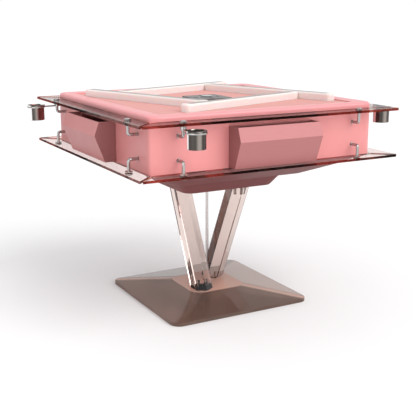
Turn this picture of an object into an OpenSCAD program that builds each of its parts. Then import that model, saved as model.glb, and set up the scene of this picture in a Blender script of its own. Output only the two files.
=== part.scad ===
// Automatic mahjong table: a square body on two crossed clear legs and a clear base,
// with folded drawers, clear shelf plates on rod brackets, cup holders and a shuffling drum.
// Front is -Y, the floor is z = 0 and the middle of the base is the origin.

/* [Body] */
// Width of the square body over its walls
body_w = 900; // [880:1:940]
// Radius of the body's four upright corners
body_corner_r = 40; // [30:1:48]
// Thickness of the body's wall
wall_t = 4; // [3:0.5:6]
// Height of the seam between the body and the top rim above the floor
seam_z = 777; // [770:1:790]
// Height of the top rim above the seam
rim_h = 15; // [13:0.5:18]
// Width of the top rim, from the wall to the playing field
rim_w = 57; // [50:1:62]
// Rounding of the rim's outer top edge
rim_round = 11; // [6:0.5:12]
// How far the rim falls from its crest to the playing field
rim_fall = 2.5; // [1:0.5:4]

/* [Playing field] */
// Thickness of the board that the rim and the field lie on
panel_t = 12; // [9:1:15]
// Height of the raised board under the cloth
board_t = 7; // [5:0.5:9]
// Thickness of the cloth
mat_t = 2; // [1:0.5:3]
// Width of the square tile hole under the console
hole_w = 118; // [116:1:121]

/* [Underside] */
// Half width of the flat step under the body
step_half = 278; // [265:1:290]
// Height of that step above the floor
step_z = 516; // [508:1:526]
// Half width of the tub where it leaves the step
tub_half = 228; // [215:1:236]
// Half width of the tub's flat bottom
tub_bottom_half = 196; // [190:1:200]
// Height of the tub's bottom above the floor
tub_z = 463; // [455:1:470]
// Thickness of the underside shell
pan_t = 4; // [3:0.5:5]

/* [Base] */
// Width of the square base
base_w = 590; // [540:1:640]
// Radius of the base's corners
base_corner_r = 38; // [25:1:50]
// Height of the base's upright lip
lip_h = 13; // [8:1:18]
// Height of the flat on top of the base
base_h = 43.5; // [35:0.5:55]
// Width of the flat on top of the base
flat_w = 234; // [230:1:280]

/* [Legs] */
// Width of a six-sided leg across its lean, from flat to flat
leg_w = 73; // [66:1:76]
// Depth of a leg along its lean, from edge to edge
leg_t = 82; // [74:1:86]
// Width of the two side faces of a leg
leg_side = 44; // [36:1:50]
// Sideways place of a leg's foot from the middle
leg_foot_x = 57; // [54:0.5:60]
// Place of a leg's foot along the lean from the middle
leg_foot_y = 60; // [50:1:66]
// Distance from the tub's lower edge to the middle of a leg's top
leg_top_inset = 52; // [50:0.5:62]
// Outer diameter of the clear cable tube between the legs
tube_d = 12; // [8:0.5:16]
// Wall of the cable tube
tube_wall = 1.5; // [1:0.25:2]

/* [Shelves] */
// How far the shelf plates reach out from the wall
shelf_out = 66; // [60:1:75]
// Thickness of a shelf plate
shelf_t = 9; // [6:0.5:10]
// Height of the middle of the upper plates
upper_shelf_z = 768; // [764:1:771]
// Height of the middle of the lower plates
lower_shelf_z = 598; // [594:1:601]
// Gap between two plates at a corner
mitre_gap = 10; // [6:1:16]

/* [Brackets] */
// Distance of a bracket from the end of its side
bracket_in = 98; // [80:1:120]
// Distance of a bracket's post from the wall
post_out = 35; // [33:1:42]
// Diameter of the bracket rod
rod_d = 11; // [9:0.5:12]
// Radius of the rod's bend along its middle line
bend_r = 9; // [8:0.5:14]
// Height of a rod's root below or above its plate's middle
root_drop = 43; // [38:1:48]
// Diameter of the clamping discs
disc_d = 26; // [22:1:30]
// Thickness of a clamping disc
disc_t = 3; // [2:0.5:4]
// Diameter of the cap nuts
nut_d = 20; // [18:0.5:24]
// Height of a cap nut
nut_h = 4; // [3:0.5:8]

/* [Drawers] */
// Width of a drawer's front
drawer_w = 330; // [300:1:350]
// Height of a drawer's underside above the floor
drawer_z = 604; // [604:0.5:608]
// Height of a drawer's top edge above the floor
drawer_top_z = 745; // [738:1:750]
// Height of the fold across the drawer's front
fold_z = 698; // [680:1:715]
// How far the drawer's top edge stands out from the wall
drawer_top_out = 62; // [50:1:66]
// How far the fold stands out from the wall
fold_out = 79; // [68:1:90]
// How far the drawer's lower edge stands out from the wall
drawer_foot_out = 42; // [30:1:50]
// Thickness of the drawer's walls
drawer_t = 4; // [3:0.5:5]
// Gap between a drawer's bin and the tile tray behind it
bin_gap = 22; // [12:1:40]

/* [Cup holders] */
// Outer diameter of a cup's body
cup_d = 62; // [58:1:64]
// Outer diameter of a cup's rolled rim
cup_rim_d = 68; // [67:0.5:70]
// Height of a cup
cup_h = 58.5; // [50:0.5:70]
// Wall of a cup
cup_wall = 1.5; // [1:0.25:2]
// Distance from the post to the middle of the cup
cup_reach = 85; // [80:1:95]
// Turn of the cup arms about their posts, in degrees
arm_turn = 1; // [0:1:10]
// Gap from the underside of the upper plate's disc to the arm
arm_drop = 8.5; // [5:0.5:12]
// Thickness of the arm and of its ring
arm_t = 5; // [4:0.5:6]

/* [Racks] */
// Length of the racks at the sides
rack_l = 638; // [600:1:640]
// How much shorter the racks at the front and rear are
rack_cut = 26; // [0:1:40]
// Width of a rack
rack_w = 42; // [36:1:45]
// Height of a rack
rack_h = 27.6; // [24:0.2:32]
// Distance from the middle to a rack's outer face
rack_d = 271; // [264:1:274]
// Turn of the four racks about the middle, in degrees
rack_turn = 18.5; // [16:0.5:20]
// Rounding of a rack's upright corners
rack_corner_r = 13; // [10:0.5:16]
// Rounding of a rack's top edges
rack_edge_r = 7; // [4:0.5:8]

/* [Console] */
// Width of the square console
console_w = 148; // [140:1:156]
// Thickness of the console's cover
console_t = 6; // [6:0.5:9]
// Width of the housing under the cover
housing_w = 112; // [100:1:114]
// Depth of the housing under the cover
housing_h = 20; // [18:0.5:22]
// Diameter of the dice window
window_d = 62; // [54:1:66]
// Rise of the clear dome over the cover
dome_rise = 6; // [3:0.5:10]
// Width of a die
die_w = 11; // [9:0.5:12]
// Diameter of a console button
button_d = 14; // [10:0.5:15]
// How far a button stands out of the cover
button_out = 2.5; // [2.2:0.1:3.5]
// Diameter of the console's lifting column
column_d = 30; // [24:1:34]

/* [Lifting trays] */
// Length of a tile tray
tray_l = 540; // [500:1:545]
// Width of a tile tray
tray_w = 46; // [40:1:48]
// Gap between the end of a tray and the side of the next one
tray_gap = 17; // [12:1:22]
// Sideways place of a tray's middle
tray_shift = 10; // [8:1:14]
// Diameter of a tray's guide rods
guide_d = 12; // [8:0.5:16]

/* [Drum] */
// Diameter of the shuffling drum
drum_d = 460; // [420:2:466]
// Height of the drum's wall
drum_h = 40; // [30:1:46]
// Wall of the drum
drum_t = 3; // [2:0.5:5]
// Diameter of the spindle that the drum turns on
spindle_d = 24; // [20:1:30]
// Diameter of the drum's belt wheel
drum_wheel_d = 240; // [200:2:260]
// Diameter of the motor's belt wheel
motor_wheel_d = 36; // [28:1:44]
// Distance from the drum's middle to the motor
motor_x = 175; // [165:1:190]
// Diameter of the drum motor
motor_d = 70; // [60:1:80]
// Length of the drum motor
motor_h = 60; // [50:1:64]

/* [Hidden] */
$fn = 64;

// Colours of the pieces as the photograph shows them
pink = [0.93, 0.60, 0.60];
pale_pink = [0.98, 0.90, 0.88, 0.9];
cloth_pink = [0.94, 0.69, 0.65];
clear_tint = [0.80, 0.66, 0.62, 0.45];
clear_brown = [0.52, 0.40, 0.37, 0.6];
edge_red = [0.75, 0.42, 0.38, 0.5];
steel = [0.72, 0.72, 0.74];
dark = [0.20, 0.20, 0.22];
grey_gloss = [0.45, 0.44, 0.44];

// Clearances: small gap between pieces, running fit of a shaft, fit of a moving piece
gap = 0.3;
run_fit = 0.05;
slide_fit = 0.5;
// Overrun of every cut
over = 1;
// Thickness of the thin slices that hulls are drawn between
slice = 0.5;
// Steps in which a rounded edge is drawn
edge_steps = 5;

// Derived places of the body
body_half = body_w / 2;
shelf_half = body_half + shelf_out;
base_half = base_w / 2;
flat_half = flat_w / 2;
field_half = body_half - rim_w;
inner_half = body_half - wall_t;
inner_r = body_corner_r - wall_t;
shell_z = lower_shelf_z - shelf_t / 2;
shell_h = seam_z - shell_z;
panel_z = seam_z - panel_t;
mat_z = seam_z + board_t;
field_z = mat_z + mat_t;
pan_r = 45;
tub_round = 12;
tub_bulge = 3;
flange_t = 4;
rim_crest_share = 1.5;
flange_w = 24;

// Derived places of the legs
leg_top_y = tub_bottom_half - leg_top_inset;
leg_lean = atan2(leg_top_y + leg_foot_y, tub_z - base_h);
bolt_d = 12;
bolt_clear = 0.1;
bolt_spread = 14;
bolt_depth = 30;
head_d = 20;
head_h = 8;
leg_reach = 3 * (tub_z - base_h);
top_plate_t = 8;
top_plate_inset = 18;
top_plate_half = tub_bottom_half - top_plate_inset;
top_plate_z = tub_z + pan_t;

// Derived places of the chassis and frame
chassis_t = 4;
chassis_z = shell_z + chassis_t;
post_w = 25;
frame_inset = 20;
frame_half = body_half - frame_inset;
rail_h = 20;
rail_z = panel_z - rail_h;

// Derived places of the drawers, whose bins end short of the tile trays
tray_d = tray_l / 2 - tray_shift + tray_w / 2 + tray_gap;
bin_side = 1;
bin_depth = body_half + gap - tray_d - tray_w / 2 - bin_gap;
bin_drop = 10;
bin_w = drawer_w - 2 * (drawer_t + bin_side);
bin_z = drawer_z + drawer_t / 2;
bin_top_z = drawer_top_z - bin_drop;
mouth_fit = 2;
slope_share = 1.1;
runner_w = 20;

// Derived places of the brackets and cup arms
post_y = body_half + post_out;
bracket_x = body_half - bracket_in;
upper_root_z = upper_shelf_z - root_drop;
lower_root_drop = 3;
lower_root_z = lower_shelf_z + root_drop + lower_root_drop;
rod_end = shelf_t / 2 + disc_t + nut_h / 2;
hub_wall = 5;
collar_lip = 2;
collar_d = rod_d + 2 * collar_lip;
hub_d = rod_d + 2 * hub_wall;
arm_z = upper_shelf_z - shelf_t / 2 - disc_t - arm_drop - arm_t;
cup_rim_h = 5;
cup_z = arm_z + arm_t + gap + cup_rim_h - cup_h;
ring_t = 4;
nut_share = 0.6;

// Derived places of the racks, trays and console
rack_z = field_z + gap;
rack_end = rack_d - rack_w - gap;
tray_head_h = 11;
tray_web_t = 8;
tray_web_h = 85;
guide_spread = 180;
guide_rod_h = 120;
guide_block = 30;
guide_block_h = 92;
console_z = field_z + gap;
console_top = console_z + console_t;
housing_z = console_z - housing_h;
console_r = 12;
console_edge = 2;
dice_well_h = 10;
dome_wall = 2;
die_spread_share = 1.1;
die_shift_share = 0.6;
die_turn = 20;
button_x = 48;
button_travel = 2;
button_well = 5;
button_h = button_well + button_out - button_travel - gap;
column_h = 120;
lift_motor_d = 34;
lift_motor_x = 135;
lift_motor_h = 30;
bridge_z = 690;
bridge_t = 6;
bridge_l = 540;
bridge_w = 50;
bush_h = 24;
bush_wall = 8;

// Derived places of the drum drive
wheel_t = 7;
wheel_lift = 6;
wheel_z = chassis_z + wheel_lift;
dish_step = 1;
dish_z = wheel_z + wheel_t + dish_step;
belt_t = 2;
belt_h = 5;
shaft_d = 10;
drum_hub_d = 60;
spindle_flange_d = 90;
unit_d = 240;
unit_w = 60;
unit_t = 34;
unit_h = 100;
box_w = 180;
box_d = 110;
box_h = 40;

// Derived places of the power inlet on the step under the rear of the body
inlet_y = (step_half + tub_half) / 2;
plate_w = 110;
plate_d = 34;
plate_t = 3.5;
socket_x = -26;
socket_w = 28;
socket_d = 20;
socket_depth = 18;
inlet_h = 26;
rocker_x = 26;
rocker_r = 10;
rocker_w = 19;
rocker_z = step_z + rocker_r - plate_t;
pivot_r = 1.5;
cheek_t = 3;

// Turns what is drawn for the front to side i: front, right, rear, left
module on_side(i) {
    rotate([0, 0, 90 * i])
        children();
}

// Rectangle with round corners, given by its half sizes
module round_rect(hx, hy, r) {
    square([2 * hx, 2 * (hy - r)], center = true);
    square([2 * (hx - r), 2 * hy], center = true);
    for (sx = [-1, 1], sy = [-1, 1])
        translate([sx * (hx - r), sy * (hy - r)])
            circle(r);
}

// Upright plate with round corners
module round_plate(half, r, t) {
    linear_extrude(t)
        round_rect(half, half, r);
}

// Plate with round corners and a rounded top edge
module soft_plate(hx, hy, r, h, e) {
    hull()
        for (a = [0:90 / edge_steps:90])
            linear_extrude(h - e + e * sin(a))
                round_rect(hx - e * (1 - cos(a)), hy - e * (1 - cos(a)), r - e * (1 - cos(a)),
                    $fn = 32);
}

// Outline given in depth and height, drawn out along X about the middle
module along_x(len) {
    rotate([90, 0, 90])
        translate([0, 0, -len / 2])
            linear_extrude(len)
                children();
}

// Block between two rounded squares at two heights
module frustum(half_a, r_a, z_a, half_b, r_b, z_b) {
    hull() {
        translate([0, 0, z_a])
            linear_extrude(slice)
                round_rect(half_a, half_a, r_a, $fn = 32);
        translate([0, 0, z_b - slice])
            linear_extrude(slice)
                round_rect(half_b, half_b, r_b, $fn = 32);
    }
}

// Base: a low clear pyramid with an upright lip and a flat top
module base_plate() {
    color(clear_brown)
        difference() {
            union() {
                round_plate(base_half, base_corner_r, lip_h);
                frustum(base_half, base_corner_r, lip_h - slice, flat_half, pan_r, base_h);
            }
            for (s = [-1, 1], b = [-1, 1])
                translate([s * leg_foot_x + b * bolt_spread, s * leg_foot_y, 0]) {
                    translate([0, 0, -over])
                        cylinder(d = bolt_d + bolt_clear, h = base_h + 2 * over);
                    translate([0, 0, -over])
                        cylinder(d = head_d + gap, h = head_h + 2 * over);
                }
        }
}

// Six-sided section of a leg: two side faces along the lean, and an edge before and behind
module leg_section() {
    w = leg_w / 2;
    t = leg_t / 2;
    b = leg_side / 2;
    polygon([[w, b], [0, t], [-w, b], [-w, -b], [0, -t], [w, -b]]);
}

// Leaning bar of the front leg, cut level at the base and at the tub
module leg() {
    difference() {
        intersection() {
            translate([-leg_foot_x, -leg_foot_y, base_h])
                rotate([-leg_lean, 0, 0])
                    linear_extrude(leg_reach, center = true)
                        leg_section();
            translate([-base_half, -base_half, base_h])
                cube([base_w, base_w, tub_z - base_h]);
        }
        for (b = [-1, 1]) {
            translate([-leg_foot_x + b * bolt_spread, -leg_foot_y, base_h - over])
                cylinder(d = bolt_d + bolt_clear, h = bolt_depth + over + bolt_clear);
            translate([-leg_foot_x + b * bolt_spread, leg_top_y, tub_z - bolt_depth - bolt_clear])
                cylinder(d = bolt_d + bolt_clear, h = bolt_depth + over + bolt_clear);
        }
    }
}

module front_leg() {
    color(clear_tint)
        leg();
}

module rear_leg() {
    color(clear_tint)
        rotate([0, 0, 180])
            leg();
}

// Clear tube that carries the mains lead from the base to the tub
module cable_tube() {
    color(clear_tint)
        translate([0, 0, base_h])
            difference() {
                cylinder(d = tube_d, h = tub_z - base_h);
                translate([0, 0, -over])
                    cylinder(d = tube_d - 2 * tube_wall, h = tub_z - base_h + 2 * over);
            }
}

// Bolts that hold the legs to the base from below and to the plate in the tub from above
module leg_bolts() {
    color(steel)
        for (s = [-1, 1], b = [-1, 1]) {
            translate([s * leg_foot_x + b * bolt_spread, s * leg_foot_y, over]) {
                cylinder(d = head_d, h = head_h);
                cylinder(d = bolt_d, h = base_h - over + bolt_depth);
            }
            translate([-s * leg_foot_x + b * bolt_spread, s * leg_top_y, 0]) {
                translate([0, 0, top_plate_z + top_plate_t])
                    cylinder(d = head_d, h = head_h);
                translate([0, 0, tub_z - bolt_depth])
                    cylinder(d = bolt_d, h = bolt_depth + pan_t + top_plate_t + over);
            }
        }
}

// Steel plate inside the tub that spreads the load of the legs
module leg_top_plate() {
    color(steel)
        difference() {
            translate([0, 0, top_plate_z])
                round_plate(top_plate_half, body_corner_r / 2, top_plate_t);
            for (s = [-1, 1], b = [-1, 1])
                translate([-s * leg_foot_x + b * bolt_spread, s * leg_top_y, top_plate_z - over])
                    cylinder(d = bolt_d + bolt_clear, h = top_plate_t + 2 * over);
            translate([0, 0, top_plate_z - over])
                cylinder(d = tube_d, h = top_plate_t + 2 * over);
        }
}

// Solid outline of the underside, drawn smaller by a wall for its hollow
module pan_form(t) {
    frustum(step_half - t, pan_r - t, step_z + t, body_half - t, body_corner_r - t, shell_z);
    hull() {
        translate([0, 0, step_z + t])
            linear_extrude(slice)
                round_rect(tub_half - t, tub_half - t, pan_r - t, $fn = 32);
        translate([0, 0, tub_z + tub_round])
            linear_extrude(slice)
                round_rect(tub_bottom_half + tub_bulge - t, tub_bottom_half + tub_bulge - t,
                    pan_r - t, $fn = 32);
        translate([0, 0, tub_z + t])
            linear_extrude(slice)
                round_rect(tub_bottom_half - tub_round / 2 - t, tub_bottom_half - tub_round / 2 - t,
                    pan_r - tub_round / 2 - t, $fn = 32);
    }
}

// Moulded underside: a flange that carries the body, a shallow slope, a step and the tub
module lower_pan() {
    color(pink)
        difference() {
            pan_form(0);
            difference() {
                pan_form(pan_t);
                translate([0, 0, shell_z - flange_t])
                    difference() {
                        round_plate(body_half, body_corner_r, flange_t + over);
                        translate([0, 0, -over])
                            round_plate(inner_half - flange_w, body_corner_r, flange_t + 3 * over);
                    }
            }
            translate([0, 0, shell_z - over])
                round_plate(inner_half - flange_w, body_corner_r, 2 * over);
            for (s = [-1, 1], b = [-1, 1])
                translate([-s * leg_foot_x + b * bolt_spread, s * leg_top_y, tub_z - over])
                    cylinder(d = bolt_d + bolt_clear, h = pan_t + 2 * over);
            translate([0, 0, tub_z - over])
                cylinder(d = tube_d - 2 * tube_wall, h = pan_t + 2 * over);
            translate([-plate_w / 2 + ring_t, inlet_y - plate_d / 2 + ring_t, step_z - over])
                cube([plate_w - 2 * ring_t, plate_d - 2 * ring_t, pan_t + 2 * over]);
        }
}

// Seamless painted wall with a mouth for a drawer in each side
module body_shell() {
    color(pink)
        translate([0, 0, shell_z])
            difference() {
                round_plate(body_half, body_corner_r, shell_h);
                translate([0, 0, -over])
                    round_plate(inner_half, inner_r, shell_h + 2 * over);
                for (i = [0:3])
                    on_side(i)
                        translate([-bin_w / 2 - mouth_fit, -body_half - over, bin_z - mouth_fit - shell_z])
                            cube([bin_w + 2 * mouth_fit, wall_t + 2 * over,
                                bin_top_z - bin_z + 2 * mouth_fit]);
            }
}

// Rim around the playing field, rounded outside and falling gently to the cloth
module top_rim() {
    crest = body_half - rim_crest_share * rim_round;
    color(pink)
        translate([0, 0, seam_z])
            difference() {
                soft_plate(body_half, body_half, body_corner_r, rim_h, rim_round);
                translate([-field_half, -field_half, -over])
                    cube([2 * field_half, 2 * field_half, rim_h + 2 * over]);
                hull() {
                    translate([-field_half, -field_half, rim_h - rim_fall])
                        cube([2 * field_half, 2 * field_half, rim_fall + over]);
                    translate([0, 0, rim_h])
                        round_plate(crest, body_corner_r - rim_crest_share * rim_round, over);
                }
            }
}

// Cuts of the tile slots and of the hole under the console
module field_cuts(z, h) {
    for (i = [0:3])
        on_side(i)
            translate([-tray_shift - tray_l / 2 - slide_fit, -tray_d - tray_w / 2 - slide_fit, z - over])
                cube([tray_l + 2 * slide_fit, tray_w + 2 * slide_fit, h + 2 * over]);
    translate([-hole_w / 2, -hole_w / 2, z - over])
        cube([hole_w, hole_w, h + 2 * over]);
}

// Board under the rim and the cloth
module tabletop_panel() {
    color("burlywood")
        difference() {
            union() {
                translate([0, 0, panel_z])
                    round_plate(inner_half - gap, inner_r - gap, panel_t);
                translate([gap - field_half, gap - field_half, seam_z])
                    cube([2 * (field_half - gap), 2 * (field_half - gap), board_t]);
            }
            field_cuts(panel_z, panel_t + board_t);
        }
}

// Cloth of the playing field
module table_mat() {
    color(cloth_pink)
        difference() {
            translate([gap - field_half, gap - field_half, mat_z])
                cube([2 * (field_half - gap), 2 * (field_half - gap), mat_t]);
            field_cuts(mat_z, mat_t);
        }
}

// One clear shelf plate of the front side, mitred at both ends
module shelf(z) {
    inner = body_half + gap / 2;
    g = mitre_gap / sqrt(2);
    difference() {
        translate([0, 0, z - shelf_t / 2])
            linear_extrude(shelf_t)
                polygon([[g - inner, -inner], [g - shelf_half, -shelf_half],
                    [shelf_half - g, -shelf_half], [inner - g, -inner]]);
        for (s = [-1, 1])
            translate([s * bracket_x, -post_y, z - shelf_t / 2 - over])
                cylinder(d = rod_d + gap, h = shelf_t + 2 * over);
    }
}

module upper_shelves() {
    color(edge_red)
        for (i = [0:3])
            on_side(i)
                shelf(upper_shelf_z);
}

module lower_shelves() {
    color(edge_red)
        for (i = [0:3])
            on_side(i)
                shelf(lower_shelf_z);
}

// Bent rod from the wall to a plate; up is 1 for a post that rises and -1 for one that falls
module bracket_rod(root_z, plate_z, up) {
    straight = post_out - bend_r;
    rise = abs(plate_z - root_z) + rod_end - bend_r;
    translate([0, -body_half, root_z])
        mirror([0, 0, up > 0 ? 0 : 1]) {
            rotate([90, 0, 0])
                cylinder(d = rod_d, h = straight);
            translate([0, -straight, bend_r])
                rotate([0, 90, 0])
                    rotate_extrude(angle = -90)
                        translate([bend_r, 0])
                            circle(d = rod_d);
            translate([0, -post_out, bend_r])
                cylinder(d = rod_d, h = rise);
        }
}

module upper_brackets() {
    color(steel)
        for (i = [0:3], s = [-1, 1])
            on_side(i)
                translate([s * bracket_x, 0, 0])
                    bracket_rod(upper_root_z, upper_shelf_z, 1);
}

module lower_brackets() {
    color(steel)
        for (i = [0:3], s = [-1, 1])
            on_side(i)
                translate([s * bracket_x, 0, 0])
                    bracket_rod(lower_root_z, lower_shelf_z, -1);
}

// Round disc with a hole for the rod
module rod_disc(d) {
    difference() {
        cylinder(d = d, h = disc_t);
        translate([0, 0, -over])
            cylinder(d = rod_d + gap, h = disc_t + 2 * over);
    }
}

// Discs above and below each plate, and a small collar on the wall at each root
module bracket_discs() {
    color(steel)
        for (i = [0:3], s = [-1, 1])
            on_side(i)
                translate([s * bracket_x, 0, 0]) {
                    for (z = [upper_shelf_z, lower_shelf_z], side = [0, 1])
                        translate([0, -post_y, z + (side == 0 ? shelf_t / 2 : -shelf_t / 2 - disc_t)])
                            rod_disc(disc_d);
                    for (z = [upper_root_z, lower_root_z])
                        translate([0, -body_half, z])
                            rotate([90, 0, 0])
                                rod_disc(collar_d);
                }
}

// Cap nut with a blind hole for the end of the rod
module cap_nut() {
    difference() {
        union() {
            cylinder(d = nut_d, h = nut_h * nut_share);
            translate([0, 0, nut_h * nut_share])
                cylinder(d1 = nut_d, d2 = nut_d * nut_share, h = nut_h * (1 - nut_share));
        }
        translate([0, 0, -over])
            cylinder(d = rod_d + gap, h = nut_h / 2 + gap + over);
    }
}

module bracket_nuts() {
    color(steel)
        for (i = [0:3], s = [-1, 1])
            on_side(i)
                translate([s * bracket_x, -post_y, 0]) {
                    translate([0, 0, upper_shelf_z + shelf_t / 2 + disc_t])
                        cap_nut();
                    translate([0, 0, lower_shelf_z - shelf_t / 2 - disc_t])
                        mirror([0, 0, 1])
                            cap_nut();
                }
}

// Drawer: folded front and an open bin that runs in through the wall, moulded in one piece
module drawer() {
    face_y = -body_half - gap;
    inset = drawer_t * slope_share;
    difference() {
        union() {
            along_x(drawer_w)
                polygon([[face_y, drawer_z], [-body_half - drawer_foot_out, drawer_z],
                    [-body_half - fold_out, fold_z], [-body_half - drawer_top_out, drawer_top_z],
                    [face_y, drawer_top_z]]);
            translate([-bin_w / 2, face_y - over, bin_z])
                cube([bin_w, bin_depth + over, bin_top_z - bin_z]);
        }
        along_x(drawer_w - 2 * drawer_t)
            polygon([[face_y - drawer_t, drawer_z + drawer_t],
                [inset - body_half - drawer_foot_out, drawer_z + drawer_t],
                [inset - body_half - fold_out, fold_z],
                [inset - body_half - drawer_top_out, drawer_top_z],
                [inset - body_half - drawer_top_out, drawer_top_z + over],
                [face_y - drawer_t, drawer_top_z + over]]);
        translate([drawer_t - bin_w / 2, face_y - drawer_t - over, bin_z + drawer_t])
            cube([bin_w - 2 * drawer_t, bin_depth + over, bin_top_z - bin_z]);
    }
}

module drawer_front() {
    color(pink)
        drawer();
}

module drawer_right() {
    color(pink)
        on_side(1)
            drawer();
}

module drawer_rear() {
    color(pink)
        on_side(2)
            drawer();
}

module drawer_left() {
    color(pink)
        on_side(3)
            drawer();
}

// Two rails under each drawer, fixed to the chassis
module drawer_runners() {
    color(steel)
        for (i = [0:3], s = [-1, 1])
            on_side(i)
                translate([s * (bin_w / 2 - runner_w / 2) - runner_w / 2, wall_t + gap - body_half,
                    chassis_z])
                    cube([runner_w, bin_depth - 2 * wall_t, bin_z - gap - chassis_z]);
}

// Moves the front side's cup parts to their post, turned about it
module at_cup_post(i) {
    on_side(i)
        translate([-bracket_x, -post_y, 0])
            rotate([0, 0, arm_turn])
                children();
}

// Arm with a hub on the post and a ring for the cup
module cup_arm() {
    translate([0, 0, arm_z])
        difference() {
            union() {
                cylinder(d = hub_d, h = arm_t + arm_drop - gap);
                translate([-arm_t, -cup_reach, 0])
                    cube([2 * arm_t, cup_reach, arm_t]);
                translate([0, -cup_reach, 0])
                    cylinder(d = cup_d + 2 * gap + 2 * ring_t, h = arm_t);
            }
            translate([0, 0, -over])
                cylinder(d = rod_d + 2 * run_fit, h = arm_t + arm_drop + 2 * over);
            translate([0, -cup_reach, -over])
                cylinder(d = cup_d + 2 * gap, h = arm_t + 2 * over);
        }
}

module cup_arm_front() {
    color(steel)
        at_cup_post(0)
            cup_arm();
}

module cup_arm_right() {
    color(steel)
        at_cup_post(1)
            cup_arm();
}

module cup_arm_rear() {
    color(steel)
        at_cup_post(2)
            cup_arm();
}

module cup_arm_left() {
    color(steel)
        at_cup_post(3)
            cup_arm();
}

// Steel cup whose rolled rim rests on the ring
module cup() {
    r = cup_d / 2;
    rim = cup_rim_d / 2;
    translate([0, -cup_reach, cup_z])
        difference() {
            union() {
                cylinder(r = r, h = cup_h);
                translate([0, 0, cup_h - cup_rim_h])
                    cylinder(r = rim, h = cup_rim_h);
            }
            translate([0, 0, 2 * cup_wall])
                cylinder(r = r - cup_wall, h = cup_h);
        }
}

module cup_front() {
    color(steel)
        at_cup_post(0)
            cup();
}

module cup_right() {
    color(steel)
        at_cup_post(1)
            cup();
}

module cup_rear() {
    color(steel)
        at_cup_post(2)
            cup();
}

module cup_left() {
    color(steel)
        at_cup_post(3)
            cup();
}

// Rack: a frosted bar with rounded ends, one of four that close a ring
module rack(i, length) {
    color(pale_pink)
        rotate([0, 0, rack_turn + 90 * i])
            translate([rack_end - length / 2, rack_w / 2 - rack_d, rack_z])
                soft_plate(length / 2, rack_w / 2, rack_corner_r, rack_h, rack_edge_r);
}

module rack_front() {
    rack(0, rack_l - rack_cut);
}

module rack_right() {
    rack(1, rack_l);
}

module rack_rear() {
    rack(2, rack_l - rack_cut);
}

module rack_left() {
    rack(3, rack_l);
}

// Tray that lifts a row of tiles, with a web and two guide rods
module lift_tray() {
    translate([-tray_shift, -tray_d, 0]) {
        translate([-tray_l / 2, -tray_w / 2, field_z - tray_head_h])
            cube([tray_l, tray_w, tray_head_h]);
        translate([-guide_spread + guide_block / 2 + gap, -tray_web_t / 2,
            field_z - tray_head_h - tray_web_h])
            cube([2 * (guide_spread - guide_block / 2 - gap), tray_web_t, tray_web_h + over]);
        for (s = [-1, 1])
            translate([s * guide_spread, 0, field_z - tray_head_h - guide_rod_h])
                cylinder(d = guide_d, h = guide_rod_h + over);
    }
}

module lift_tray_front() {
    color(cloth_pink)
        lift_tray();
}

module lift_tray_right() {
    color(cloth_pink)
        on_side(1)
            lift_tray();
}

module lift_tray_rear() {
    color(cloth_pink)
        on_side(2)
            lift_tray();
}

module lift_tray_left() {
    color(cloth_pink)
        on_side(3)
            lift_tray();
}

// Blocks that guide the rods of the lifting trays
module lift_guides() {
    color(dark)
        for (i = [0:3], s = [-1, 1])
            on_side(i)
                translate([s * guide_spread - tray_shift, -tray_d, chassis_z])
                    difference() {
                        translate([-guide_block / 2, -guide_block / 2, 0])
                            cube([guide_block, guide_block, guide_block_h]);
                        translate([0, 0, over])
                            cylinder(d = guide_d + 2 * run_fit, h = guide_block_h);
                    }
}

// Glossy cover of the console, with the dice window and four button wells
module console_cover() {
    color(grey_gloss)
        translate([0, 0, console_z])
            difference() {
                soft_plate(console_w / 2, console_w / 2, console_r, console_t, console_edge);
                translate([0, 0, -over])
                    cylinder(d = window_d, h = console_t + 2 * over);
                for (i = [0:3])
                    on_side(i)
                        translate([0, -button_x, console_t - button_well])
                            cylinder(d = button_d + 2 * gap, h = button_well + over);
            }
}

// Housing under the cover with the dice well, and the column that lifts it
module console_column() {
    color(dark)
        difference() {
            union() {
                translate([0, 0, housing_z])
                    round_plate(housing_w / 2, console_r, housing_h);
                translate([0, 0, housing_z - column_h])
                    cylinder(d = column_d, h = column_h + over);
            }
            translate([0, 0, console_z - dice_well_h])
                cylinder(d = window_d - 2 * dome_wall, h = dice_well_h + over);
        }
}

// Clear dome over the dice
module dice_dome() {
    r = window_d / 2 - gap;
    rise = dome_rise;
    ball = (r * r + rise * rise) / (2 * rise);
    color([0.9, 0.92, 0.95, 0.35])
        translate([0, 0, console_z])
            difference() {
                union() {
                    cylinder(r = r, h = console_t);
                    intersection() {
                        translate([0, 0, console_t + rise - ball])
                            sphere(ball, $fn = 128);
                        translate([0, 0, console_t - over])
                            cylinder(r = r, h = rise + 2 * over);
                    }
                }
                translate([0, 0, -over])
                    cylinder(r = r - dome_wall, h = console_t - dome_wall + over);
            }
}

// Two dice in the well
module dice() {
    color("ivory")
        for (s = [-1, 1])
            translate([s * die_w * die_spread_share, s * die_w * die_shift_share, console_z - dice_well_h])
                rotate([0, 0, s * die_turn])
                    translate([-die_w / 2, -die_w / 2, 0])
                        cube(die_w);
}

// Round button in the console's cover
module button(i) {
    color("ivory")
        on_side(i)
            translate([0, -button_x, console_top + button_out - button_h])
                cylinder(d = button_d, h = button_h);
}

module button_front() {
    button(0);
}

module button_right() {
    button(1);
}

module button_rear() {
    button(2);
}

module button_left() {
    button(3);
}

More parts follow.
